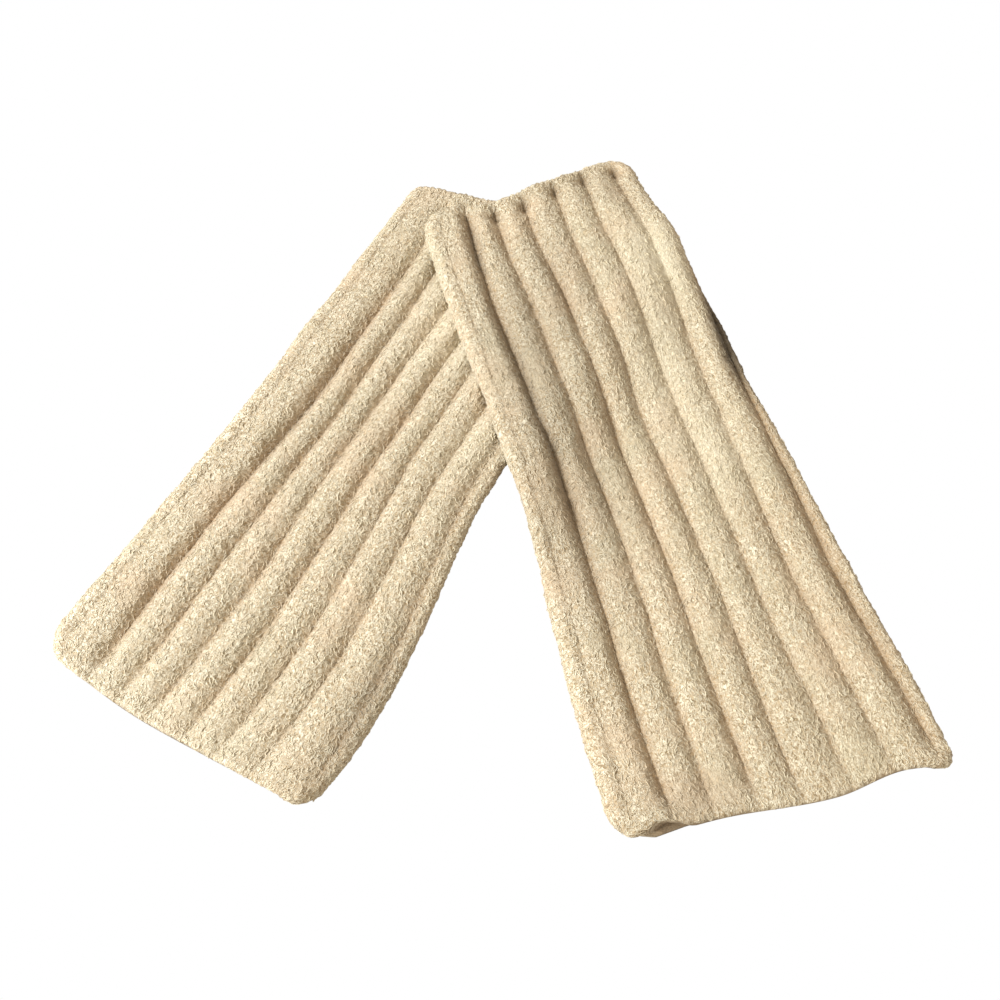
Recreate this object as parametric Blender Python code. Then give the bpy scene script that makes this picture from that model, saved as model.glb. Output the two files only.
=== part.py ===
"""Pair of fingerless arm warmers in a wide rib knit, laid flat with the right one across the left one.

Each warmer is one knitted tube, open at both ends and lying flat: a bottom layer, a slit of a hollow and
a top layer, joined round two side folds. The ribs stand up in the outer points over a plain inside. The
underside is flat. The right warmer lies on the left one near their tops, and drops to the table beside it.

The sizes below are in millimetres and become metres as the meshes are made. In its own frame a warmer
runs along +X from its top edge to its hem, with +Y across it, towards its right fold, and +Z up.
"""

import math
from typing import NamedTuple

import bmesh
import bpy
import numpy as np

MM = 0.001

# The knitted wall, from the table up: the bottom layer, the hollow, the top layer in a groove, a rib on it
UNDER_WALL = 3.0
SLIT = 0.8
GROOVE_WALL = 2.2
RIB_HEIGHT = 2.8
BODY = UNDER_WALL + SLIT + GROOVE_WALL

# The side folds: half circles over the plain section, with the wall and the rib that stand past them
FOLD_RADIUS = BODY / 2
SIDE_WALL = 2.8
SIDE_RIB = 2.6

# Powers of the distance from the middle: how full a rib's and the hollow's sections are
RIB_FULLNESS = 2.0
SLIT_FULLNESS = 6

# A rib narrower than this is lower in proportion, and a groove's bottom is rounded over this much
FULL_RIB = 10.0
VALLEY_ROUND = 1.0

# Near an end the grooves get shallower over EDGE_FADE, and the lip drops over its last LIP_LENGTH
EDGE_FADE = 16.0
EDGE_GROOVE = 0.25
LIP_LENGTH = 2.2
LIP_DROP = 1.5

# The bottom layer ends this far inside the top one, and eases back out over TUCK_REACH
UNDER_TUCK = 1.8
TUCK_REACH = 14.0

# A rounded corner pushes the grooves over within this many times its own cut
CORNER_GIVE = 3.0

# The right warmer lies this far clear of the left one's ribs, and past its edge by LEDGE before it slopes
CLEARANCE = 0.6
LEDGE = 3.0
SLOPE = 42.0
PERCH = BODY + RIB_HEIGHT + CLEARANCE

# Points across each rib, each outer stretch with a fold, the underside and the hollow, which has them
# closer at its sides by CROWD, and the rows: even between the lips, and at these distances from an end
RIB_COLUMNS = 6
FOLD_COLUMNS = 8
UNDER_COLUMNS = 9
INNER_COLUMNS = 21
CROWD = 0.06
ROW_STEP = 12.0
LIP_ROWS = (0.0, 0.7, 2.2, 5.5, 10.5)

# The wool's colours, the lower warmer's a little deeper, and its roughness
LEFT_WOOL = (0.74, 0.62, 0.44)
RIGHT_WOOL = (0.76, 0.64, 0.46)
WOOL_ROUGHNESS = 0.92


class Station(NamedTuple):
    """One section of a warmer: its distance along, and its two outlines' distances from the centre line."""

    along: float
    left: float
    right: float


class EndPlace(NamedTuple):
    """Where the top edge and the hem lie along the warmer, at one place across it (0 left, 1 right)."""

    across: float
    top: float
    hem: float


class Groove(NamedTuple):
    """One groove between two ribs: its places across the width at GROOVE_STATIONS, and its depth."""

    at_top: float
    upper: float
    middle: float
    lower: float
    at_hem: float
    depth: float


class Corners(NamedTuple):
    """The radii of a warmer's rounded corners."""

    top_left: float
    top_right: float
    hem_left: float
    hem_right: float


class HemLift(NamedTuple):
    """A stretch of the hem where the top layer arches up and back from the bottom one."""

    across: float
    half_width: float
    reach: float
    rise: float
    setback: float


class Warmer(NamedTuple):
    """One arm warmer: where its top edge's middle lies, its heading, and its tables.

    The rib round its right fold is lower than the others, low_fold times as high, so that side slopes away.
    """

    name: str
    place: tuple
    heading: float
    length: float
    low_fold: float
    corners: Corners
    stations: tuple
    ends: tuple
    grooves: tuple
    lift: HemLift | None


GROOVE_STATIONS = (0.0, 0.2, 0.45, 0.68, 1.0)

LEFT = Warmer(
    name="warmer_left",
    place=(15.5, 133.1),
    heading=-119.0,
    length=292.0,
    low_fold=0.15,
    corners=Corners(4.5, 8.0, 12.0, 9.0),
    stations=(
        Station(0.0, 56.0, 57.0),
        Station(50.0, 55.8, 57.4),
        Station(100.0, 57.2, 58.2),
        Station(130.0, 56.8, 58.2),
        Station(156.0, 57.0, 58.4),
        Station(185.0, 58.0, 62.0),
        Station(214.0, 60.0, 66.6),
        Station(241.0, 61.8, 69.0),
        Station(268.0, 63.2, 68.2),
        Station(292.0, 63.8, 65.4),
    ),
    ends=(
        EndPlace(0.0, 11.0, 289.5),
        EndPlace(0.12, 7.5, 291.6),
        EndPlace(0.35, 1.5, 294.8),
        EndPlace(0.65, -5.0, 294.6),
        EndPlace(0.85, -10.0, 293.8),
        EndPlace(1.0, -13.0, 293.6),
    ),
    grooves=(
        Groove(0.032, 0.036, 0.040, 0.038, 0.042, 0.25),
        Groove(0.160, 0.190, 0.197, 0.164, 0.180, 1.4),
        Groove(0.260, 0.302, 0.317, 0.295, 0.299, 1.05),
        Groove(0.382, 0.434, 0.430, 0.425, 0.413, 1.05),
        Groove(0.515, 0.566, 0.563, 0.554, 0.543, 1.2),
        Groove(0.645, 0.686, 0.683, 0.687, 0.665, 0.9),
        Groove(0.770, 0.812, 0.812, 0.810, 0.796, 0.85),
        Groove(0.915, 0.935, 0.943, 0.948, 0.965, 0.9),
    ),
    lift=None,
)

RIGHT = Warmer(
    name="warmer_right",
    place=(18.3, 142.5),
    heading=-72.4,
    length=307.0,
    low_fold=0.35,
    corners=Corners(9.0, 9.0, 10.0, 8.0),
    stations=(
        Station(0.0, 55.4, 53.0),
        Station(30.0, 56.8, 54.0),
        Station(56.0, 57.0, 58.8),
        Station(80.0, 57.0, 61.0),
        Station(130.0, 56.2, 61.2),
        Station(170.0, 56.8, 63.2),
        Station(210.0, 60.0, 65.0),
        Station(250.0, 63.8, 67.0),
        Station(280.0, 65.4, 69.0),
        Station(307.0, 66.2, 69.6),
    ),
    ends=(
        EndPlace(0.0, 3.0, 304.0),
        EndPlace(0.12, 2.5, 306.0),
        EndPlace(0.3, 5.6, 307.4),
        EndPlace(0.64, -2.0, 313.2),
        EndPlace(0.88, -9.5, 312.0),
        EndPlace(1.0, -8.0, 317.6),
    ),
    grooves=(
        Groove(0.042, 0.036, 0.028, 0.036, 0.040, 0.3),
        Groove(0.172, 0.142, 0.145, 0.149, 0.150, 1.3),
        Groove(0.294, 0.287, 0.277, 0.285, 0.268, 1.0),
        Groove(0.438, 0.429, 0.409, 0.409, 0.402, 1.05),
        Groove(0.600, 0.560, 0.539, 0.542, 0.520, 0.95),
        Groove(0.756, 0.705, 0.682, 0.668, 0.676, 0.8),
        Groove(0.922, 0.868, 0.830, 0.803, 0.811, 0.85),
        Groove(1.045, 1.008, 0.974, 0.947, 0.957, 1.4),
    ),
    lift=HemLift(0.135, 0.10, 34.0, 2.4, 3.5),
)


def smooth(value):
    """Goes from 0 to 1 as the value does, level at both ends."""
    value = np.clip(value, 0.0, 1.0)
    return value * value * (3.0 - 2.0 * value)


def through(places, values, at):
    """Reads a smooth curve through the given values: cubic spans whose slopes come from their neighbours."""
    places = np.asarray(places, float)
    values = np.asarray(values, float)
    slopes = np.gradient(values, places)
    at = np.clip(at, places[0], places[-1])
    span = np.clip(np.searchsorted(places, at, side="right") - 1, 0, len(places) - 2)
    width = places[span + 1] - places[span]
    share = (at - places[span]) / width
    square = share * share
    cube = square * share
    return (
        values[span] * (2 * cube - 3 * square + 1)
        + values[span + 1] * (3 * square - 2 * cube)
        + slopes[span] * width * (cube - 2 * square + share)
        + slopes[span + 1] * width * (cube - square)
    )


def outlines(warmer, along):
    """The left and right outlines' places across a warmer at a distance along it."""
    rows = [row.along for row in warmer.stations]
    left = through(rows, [row.left for row in warmer.stations], along)
    right = through(rows, [row.right for row in warmer.stations], along)
    return -left, right


def corner_cut(radius, from_end):
    """How far a quarter circle of this radius pulls a side in, this far from the end it turns into."""
    short = max(0.0, radius - from_end)
    return radius - math.sqrt(radius * radius - short * short)


def corner_shift(inward, cut):
    """How far a groove this far in from a side leans over with a corner's cut: less the further in it lies."""
    if cut <= 0.0:
        return 0.0
    return cut * min(1.0, max(0.0, 1.0 - inward / (CORNER_GIVE * cut)))


def cloth_sides(warmer, row):
    """The plain section's sides before the ribs are raised: straight ones, and with the corners cut."""
    along = row * warmer.length
    left, right = outlines(warmer, along)
    left += SIDE_RIB
    right -= SIDE_RIB * warmer.low_fold
    radii = warmer.corners
    left_cut = corner_cut(radii.top_left, along) + corner_cut(radii.hem_left, warmer.length - along)
    right_cut = corner_cut(radii.top_right, along) + corner_cut(radii.hem_right, warmer.length - along)
    return left, right, left + left_cut, right - right_cut


def end_edges(warmer, share):
    """How far along the top edge and the hem lie, at a share of the width."""
    places = [row.across for row in warmer.ends]
    top = through(places, [row.top for row in warmer.ends], share)
    hem = through(places, [row.hem for row in warmer.ends], share)
    return top, hem


def rows_of(warmer):
    """The sections from top edge to hem, as shares of the length: close at both lips, even between them."""
    lips = np.array(LIP_ROWS)
    first = lips[-1]
    count = round((warmer.length - 2 * first) / ROW_STEP)
    middle = np.linspace(first, warmer.length - first, count + 1)[1:-1]
    return np.concatenate([lips, middle, (warmer.length - lips)[::-1]]) / warmer.length


def edge_effects(from_end):
    """How much of a groove's depth is left, and how far the lip has dropped, this far from an end."""
    depth = EDGE_GROOVE + (1.0 - EDGE_GROOVE) * smooth(from_end / EDGE_FADE)
    short = max(0.0, 1.0 - from_end / LIP_LENGTH)
    drop = LIP_DROP * (1.0 - math.sqrt(1.0 - short * short))
    return depth, drop


def rib_fall(share, width):
    """How far a rib has fallen at shares of its width: 0 on its crest, and 1 in its rounded grooves."""
    to_groove = np.minimum(share, 1.0 - share) * width
    eased = np.hypot(to_groove, VALLEY_ROUND) - VALLEY_ROUND
    half_rib = math.hypot(width / 2, VALLEY_ROUND) - VALLEY_ROUND
    return np.maximum(0.0, 1.0 - eased / half_rib) ** RIB_FULLNESS


def rib_columns(warmer, row, kept):
    """The outer points over the top layer and both folds, as lengths round the section and rib heights.

    A length is measured over the cloth and equals the place across the warmer on the flat top. A fold
    starts a radius in from the side and runs half a circle round. Each stretch between two grooves is a
    rib: its height falls from the crest to the grooves' floors as a power of the distance from its middle.
    Of a groove's depth only the kept share is left near an end.
    """
    left, right, cut_left, cut_right = cloth_sides(warmer, row)
    left_cut, right_cut = cut_left - left, right - cut_right
    turn = FOLD_RADIUS * (math.pi - 1.0)
    places = [cut_left - turn]
    depths = [1.0]
    for *shares, depth in warmer.grooves:
        place = left + float(through(GROOVE_STATIONS, shares, row)) * (right - left)
        place += corner_shift(place - left, left_cut) - corner_shift(right - place, right_cut)
        places.append(place)
        depths.append(depth)
    places.append(cut_right + turn)
    depths.append(1.0)
    lengths, heights = [], []
    last = len(places) - 2
    for index in range(last + 1):
        count = FOLD_COLUMNS if index in (0, last) else RIB_COLUMNS
        share = np.arange(count + (index == last)) / count
        depth = np.where(share < 0.5, depths[index], depths[index + 1])
        at_side = (index == 0) & (share < 0.5) | (index == last) & (share > 0.5)
        fade = np.where(at_side, 1.0, kept)
        width = places[index + 1] - places[index]
        crest = RIB_HEIGHT * min(1.0, width / FULL_RIB) * (warmer.low_fold if index == last else 1.0)
        floor = RIB_HEIGHT * (1.0 - fade * depth)
        fall = rib_fall(share, width)
        heights.append(crest * (1.0 - fall) + floor * fall)
        lengths.append(places[index] + share * width)
    return np.concatenate(lengths), np.concatenate(heights)


def outer_section(warmer, row):
    """The outer loop of one section: its points' shares round it, places across and heights.

    A share is 0 at the left fold, 1 at the right one and nears 2 on the way back along the underside. Ribs
    stand out square to the cloth over the top, and sideways below the middle of a fold, clear of the table.
    """
    _, _, left, right = cloth_sides(warmer, row)
    kept, drop = edge_effects(min(row, 1.0 - row) * warmer.length)
    lengths, rib = rib_columns(warmer, row, kept)
    flat_left = left + FOLD_RADIUS
    flat_right = right - FOLD_RADIUS
    angle = np.maximum(lengths - flat_right, flat_left - lengths) / FOLD_RADIUS
    angle = np.clip(angle, 0.0, math.pi)
    side = np.where(lengths < flat_left, -1.0, 1.0)
    outward = np.sin(np.minimum(angle, math.pi / 2))
    upward = np.cos(np.minimum(angle, math.pi / 2))
    centre = np.clip(lengths, flat_left, flat_right)
    reach = rib - drop * np.cos(np.maximum(angle - math.pi / 2, 0.0))
    across = centre + side * (FOLD_RADIUS * np.sin(angle) + reach * outward)
    height = FOLD_RADIUS * (1.0 + np.cos(angle)) + reach * upward
    under = np.linspace(flat_right, flat_left, UNDER_COLUMNS + 1)[1:-1]
    width = right - left
    share = (across - left) / width
    low = angle > math.pi / 2
    round_share = np.where(low & (side < 0), -share, np.where(low, 2.0 - share, share))
    round_share = np.concatenate([round_share, 2.0 - (under - left) / width])
    across = np.concatenate([across, under])
    height = np.concatenate([height, np.zeros_like(under)])
    return round_share, across, height


def inner_section(warmer, row):
    """The inner loop of one section: a plain slit that closes to an edge inside each side fold."""
    _, _, left, right = cloth_sides(warmer, row)
    left += SIDE_WALL
    right -= SIDE_WALL
    share = np.linspace(0.0, 1.0, INNER_COLUMNS)
    share = share - CROWD * np.sin(2 * math.pi * share)
    half = SLIT / 2 * (1.0 - np.abs(2.0 * share - 1.0) ** SLIT_FULLNESS)
    middle = UNDER_WALL + SLIT / 2
    across = left + share * (right - left)
    round_share = np.concatenate([share, 2.0 - share[-2:0:-1]])
    height = np.concatenate([middle + half, (middle - half)[-2:0:-1]])
    return round_share, np.concatenate([across, across[-2:0:-1]]), height


def hem_arch(warmer, row, share):
    """How much the hem's top layer is lifted at these shares of the width: 1 at the arch's crown, else less."""
    if warmer.lift is None:
        return np.zeros_like(share)
    near = smooth(1.0 - (1.0 - row) * warmer.length / warmer.lift.reach)
    return near * smooth(1.0 - np.abs(share - warmer.lift.across) / warmer.lift.half_width)


def laid_points(warmer, row, across, height, drape):
    """Sets a section's points in the warmer's frame, with its slanting ends, lifted hem and drape.

    The under layer is tucked back a little at both ends, except below the lifted stretch of the hem.
    """
    left, right = outlines(warmer, row * warmer.length)
    share = (across - left) / (right - left)
    top, hem = end_edges(warmer, np.clip(share, 0.0, 1.0))
    along = top + row * (hem - top)
    arch = hem_arch(warmer, row, share)
    above = smooth((height - UNDER_WALL - SLIT / 4) / (SLIT / 2))
    near_top = smooth(1.0 - row * warmer.length / TUCK_REACH)
    near_hem = smooth(1.0 - (1.0 - row) * warmer.length / TUCK_REACH)
    tuck = UNDER_TUCK * (1.0 - above) * (near_hem * (1.0 - arch) - near_top)
    along = along - tuck
    if warmer.lift is not None:
        height = height + arch * above * warmer.lift.rise
        along = along - arch * above * warmer.lift.setback
    return np.stack([along, across, height + drape(along, across)], axis=1)


def close_end(mesh, outside, inside, outer_shares, inner_shares):
    """Joins the outer and inner loops at an open end, whose counts differ, with a ring of triangles.

    It steps round both loops together, each time along the one whose next point comes first.
    """
    outer_next = np.append(outer_shares[1:], 2.0 + outer_shares[0])
    inner_next = np.append(inner_shares[1:], 2.0 + inner_shares[0])
    first, second = 0, 0
    while first < len(outside) or second < len(inside):
        here, there = outside[first % len(outside)], inside[second % len(inside)]
        inner_done = second == len(inside)
        if inner_done or (first < len(outside) and outer_next[first] <= inner_next[second]):
            first += 1
            mesh.faces.new((here, outside[first % len(outside)], there))
        else:
            second += 1
            mesh.faces.new((here, inside[second % len(inside)], there))


def add_rings(mesh, rings):
    """Adds each ring's points as vertices and joins neighbouring rings with quads."""
    rows = [[mesh.verts.new(point * MM) for point in ring] for ring in rings]
    for upper, lower in zip(rows, rows[1:]):
        for index, corner in enumerate(upper):
            after = (index + 1) % len(upper)
            mesh.faces.new((corner, upper[after], lower[after], lower[index]))
    return rows


def tube_mesh(warmer, drape):
    """Lofts a warmer's outer and inner sections and closes the wall round both open ends."""
    outer, inner, outer_shares, inner_shares = [], [], [], []
    for row in rows_of(warmer):
        shares, across, height = outer_section(warmer, row)
        outer.append(laid_points(warmer, row, across, height, drape))
        outer_shares.append(shares)
        shares, across, height = inner_section(warmer, row)
        inner.append(laid_points(warmer, row, across, height, drape))
        inner_shares.append(shares)
    mesh = bmesh.new()
    outer_rows = add_rings(mesh, outer)
    inner_rows = add_rings(mesh, inner)
    for end in (0, -1):
        close_end(mesh, outer_rows[end], inner_rows[end], outer_shares[end], inner_shares[end])
    bmesh.ops.recalc_face_normals(mesh, faces=mesh.faces[:])
    data = bpy.data.meshes.new(warmer.name)
    mesh.to_mesh(data)
    mesh.free()
    return data


def flat_drape(along, across):
    """The left warmer lies on the table all over."""
    return np.zeros_like(along)


def to_table(warmer, along, across):
    """Turns places in a warmer's frame into places on the table."""
    cos, sin = math.cos(math.radians(warmer.heading)), math.sin(math.radians(warmer.heading))
    return warmer.place[0] + along * cos - across * sin, warmer.place[1] + along * sin + across * cos


def from_table(warmer, x, y):
    """Turns places on the table into places in a warmer's frame."""
    cos, sin = math.cos(math.radians(warmer.heading)), math.sin(math.radians(warmer.heading))
    x = x - warmer.place[0]
    y = y - warmer.place[1]
    return x * cos + y * sin, y * cos - x * sin


def drape_over_left(along, across):
    """How high the right warmer's underside lies: level over the left one, then down a soft slope."""
    under_along, under_across = from_table(LEFT, *to_table(RIGHT, along, across))
    left, right = outlines(LEFT, under_along)
    share = np.clip((under_across - left) / (right - left), 0.0, 1.0)
    top, _ = end_edges(LEFT, share)
    past_side = np.maximum(under_across - right - LEDGE, 0.0)
    past_top = np.maximum(top - under_along - LEDGE, 0.0)
    return PERCH * (1.0 - smooth(np.hypot(past_side, past_top) / SLOPE))


def wool(name, colour):
    """A soft undyed wool: rough, not metallic."""
    material = bpy.data.materials.new(name)
    material.use_nodes = True
    shader = material.node_tree.nodes["Principled BSDF"]
    shader.inputs["Base Color"].default_value = (*colour, 1.0)
    shader.inputs["Roughness"].default_value = WOOL_ROUGHNESS
    shader.inputs["Metallic"].default_value = 0.0
    return material


def add_warmer(warmer, drape, colour, collection, parent):
    """Makes one warmer's object, placed by its own location and heading."""
    body = bpy.data.objects.new(warmer.name, tube_mesh(warmer, drape))
    body.data.materials.append(wool(warmer.name + "_wool", colour))
    body.data.shade_smooth()
    body.location = (warmer.place[0] * MM, warmer.place[1] * MM, 0.0)
    body.rotation_euler = (0.0, 0.0, math.radians(warmer.heading))
    body.parent = parent
    collection.objects.link(body)


def main():
    """Clears the scene and lays out the pair."""
    for old in list(bpy.data.objects):
        bpy.data.objects.remove(old, do_unlink=True)
    collection = bpy.data.collections.new("fingerless_arm_warmers")
    bpy.context.scene.collection.children.link(collection)
    table = bpy.data.objects.new("arm_warmers_on_table", None)
    collection.objects.link(table)
    add_warmer(LEFT, flat_drape, LEFT_WOOL, collection, table)
    add_warmer(RIGHT, drape_over_left, RIGHT_WOOL, collection, table)


main()
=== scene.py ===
"""Dresses the pair of fingerless arm warmers: soft cream wool, knitted in a wide rib and curled all over.

The warmers lie flat on a pale floor, the right one across the left one's top. Each gets a fine knitted
shell in place of its solid, and two pieces of curly fibres that lie over the yarn. Sizes are in
millimetres and become metres as a mesh is made. In its own frame a warmer runs along +X from its top edge
to its hem, with +Y across it towards its right fold, and +Z up from the table.
"""

from __future__ import annotations

import logging
import math
from dataclasses import dataclass
from dataclasses import field
from enum import Enum

import bpy
import numpy as np
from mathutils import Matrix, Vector


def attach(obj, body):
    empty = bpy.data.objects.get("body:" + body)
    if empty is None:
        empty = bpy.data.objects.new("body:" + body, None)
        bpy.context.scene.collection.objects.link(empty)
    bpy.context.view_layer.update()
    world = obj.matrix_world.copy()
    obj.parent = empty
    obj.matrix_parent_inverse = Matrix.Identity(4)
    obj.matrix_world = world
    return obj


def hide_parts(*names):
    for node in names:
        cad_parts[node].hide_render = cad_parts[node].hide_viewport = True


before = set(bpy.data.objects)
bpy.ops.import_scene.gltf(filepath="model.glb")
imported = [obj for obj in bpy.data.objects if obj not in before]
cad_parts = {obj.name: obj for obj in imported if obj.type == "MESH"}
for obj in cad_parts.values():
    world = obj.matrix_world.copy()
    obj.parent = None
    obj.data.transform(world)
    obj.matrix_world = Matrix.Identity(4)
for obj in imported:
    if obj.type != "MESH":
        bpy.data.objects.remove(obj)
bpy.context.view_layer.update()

Array = np.ndarray
Triple = tuple[float, float, float]
Steps = tuple[tuple[int, int], ...]
MM = 0.001
LOG = logging.getLogger("arm_warmers")

# How far short of a grid's last row or column a place between its points is held
HAIR = 0.001

# A quad's four corners, as steps down and across a grid, in the order that turns its face outwards
SHELL_STEPS = ((0, 0), (1, 0), (1, 1), (0, 1))
FIBRE_STEPS = ((0, 0), (0, 1), (1, 1), (1, 0))


def smooth(value: Array | float) -> Array:
    """Goes from 0 to 1 as the value does, level at both ends: three squares less two cubes."""
    value = np.clip(value, 0.0, 1.0)
    return value * value * (3.0 - 2.0 * value)


def through(places: list[float], values: list[float], at: Array) -> Array:
    """Reads a smooth curve through a table: cubic spans whose slopes come from their neighbours.

    Args:
        places: The table's places, in rising order.
        values: The table's values there.
        at: Where to read the curve. Places past the table read its last values.

    Returns:
        The curve's values, in the shape of at.
    """
    places = np.asarray(places, float)
    values = np.asarray(values, float)
    slopes = np.gradient(values, places)
    at = np.clip(at, places[0], places[-1])
    span = np.clip(np.searchsorted(places, at, side="right") - 1, 0, len(places) - 2)
    width = places[span + 1] - places[span]
    share = (at - places[span]) / width
    square = share * share
    cube = square * share
    return (
        values[span] * (2 * cube - 3 * square + 1)
        + values[span + 1] * (3 * square - 2 * cube)
        + slopes[span] * width * (cube - 2 * square + share)
        + slopes[span + 1] * width * (cube - square)
    )


def unit(vectors: Array) -> Array:
    """Scales each vector in the last axis to a length of 1."""
    return vectors / np.maximum(np.linalg.norm(vectors, axis=-1, keepdims=True), 1e-12)


class SoftNoise:
    """Smooth random values from -1 to 1 over a plane.

    Random numbers stand on a square lattice of unit pitch, and a value between them is eased from its four
    neighbours with the smooth step in both directions.
    """

    LATTICE = 256

    def __init__(self, seed: int) -> None:
        """Draws the lattice's numbers from the seed."""
        self.numbers = np.random.default_rng(seed).uniform(-1.0, 1.0, (self.LATTICE, self.LATTICE))

    def __call__(self, first: Array, second: Array) -> Array:
        """Reads the noise between the lattice's points.

        Args:
            first: Places in the lattice's first direction, in its pitches.
            second: Places in its second direction.

        Returns:
            The noise at each pair of places.
        """
        first, second = np.broadcast_arrays(first, second)
        row, column = np.floor(first).astype(int), np.floor(second).astype(int)
        down, across = smooth(first - row), smooth(second - column)
        row, column = row % self.LATTICE, column % self.LATTICE
        next_row, next_column = (row + 1) % self.LATTICE, (column + 1) % self.LATTICE
        near = self.numbers[row, column] * (1 - across) + self.numbers[row, next_column] * across
        far = self.numbers[next_row, column] * (1 - across) + self.numbers[next_row, next_column] * across
        return near * (1 - down) + far * down


@dataclass(frozen=True)
class Station:
    """One section of a warmer: its distance along, and its outlines' distances from the centre line."""

    along: float
    left: float
    right: float


@dataclass(frozen=True)
class EndPlace:
    """Where the top edge and the hem lie along the warmer, at one place across it (0 left, 1 right)."""

    across: float
    top: float
    hem: float


@dataclass(frozen=True)
class Groove:
    """One groove between two ribs: its places across the width at GROOVE_STATIONS, and its depth."""

    at_top: float
    upper: float
    middle: float
    lower: float
    at_hem: float
    depth: float

    def across(self, rows: Array) -> Array:
        """Its places across the width at the given rows."""
        shares = [self.at_top, self.upper, self.middle, self.lower, self.at_hem]
        return through(list(GROOVE_STATIONS), shares, rows)


@dataclass(frozen=True)
class Pinch:
    """A stretch where one groove is deeper: how far along its middle lies, half its length, the depth."""

    groove: int
    along: float
    half_length: float
    depth: float


@dataclass(frozen=True)
class PaintedShadeBand:
    """A stretch of painted shade beside a groove: its place and size along, its width, how much."""

    groove: int
    along: float
    half_length: float
    width: float
    strength: float


@dataclass(frozen=True)
class PaintedShadingCloud:
    """A large soft area of painted shade, or painted light below 0: its middle, its reach and how much."""

    along: float
    across: float
    length: float
    width: float
    strength: float


@dataclass(frozen=True)
class Corners:
    """The radii of a warmer's rounded corners."""

    top_left: float
    top_right: float
    hem_left: float
    hem_right: float


@dataclass(frozen=True)
class HemLift:
    """A stretch of the hem where the top layer arches up and back from the bottom one."""

    across: float
    half_width: float
    reach: float
    rise: float
    setback: float


@dataclass(frozen=True)
class Wall:
    """The knitted wall, from the table up, and its folds: the same on both warmers."""

    under: float = 3.0
    slit: float = 0.8
    groove: float = 2.2
    rib: float = 2.8
    side_wall: float = 2.8
    side_rib: float = 2.6
    rib_fullness: float = 2.0
    valley_round: float = 1.0
    deepest: float = 1.65
    slit_fullness: int = 6
    full_rib: float = 10.0

    @property
    def body(self) -> float:
        """How high the tube lies in a groove."""
        return self.under + self.slit + self.groove

    @property
    def fold_radius(self) -> float:
        """The radius of the half circle that each side fold turns round."""
        return self.body / 2


@dataclass(frozen=True)
class Ends:
    """How the knit changes near its two ends, and how far the bottom layer ends inside the top one."""

    fade: float = 16.0
    groove_left: float = 0.25
    lip: float = 2.2
    drop: float = 1.5
    tuck: float = 1.8
    tuck_reach: float = 14.0
    corner_give: float = 3.0


GROOVE_STATIONS = (0.0, 0.2, 0.45, 0.68, 1.0)
TUBE_WALL = Wall()
TUBE_ENDS = Ends()


@dataclass(frozen=True)
class Sides:
    """The plain section's two sides in each row: straight ones, and ones with the corners cut."""

    left: Array
    right: Array
    cut_left: Array
    cut_right: Array


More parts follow.
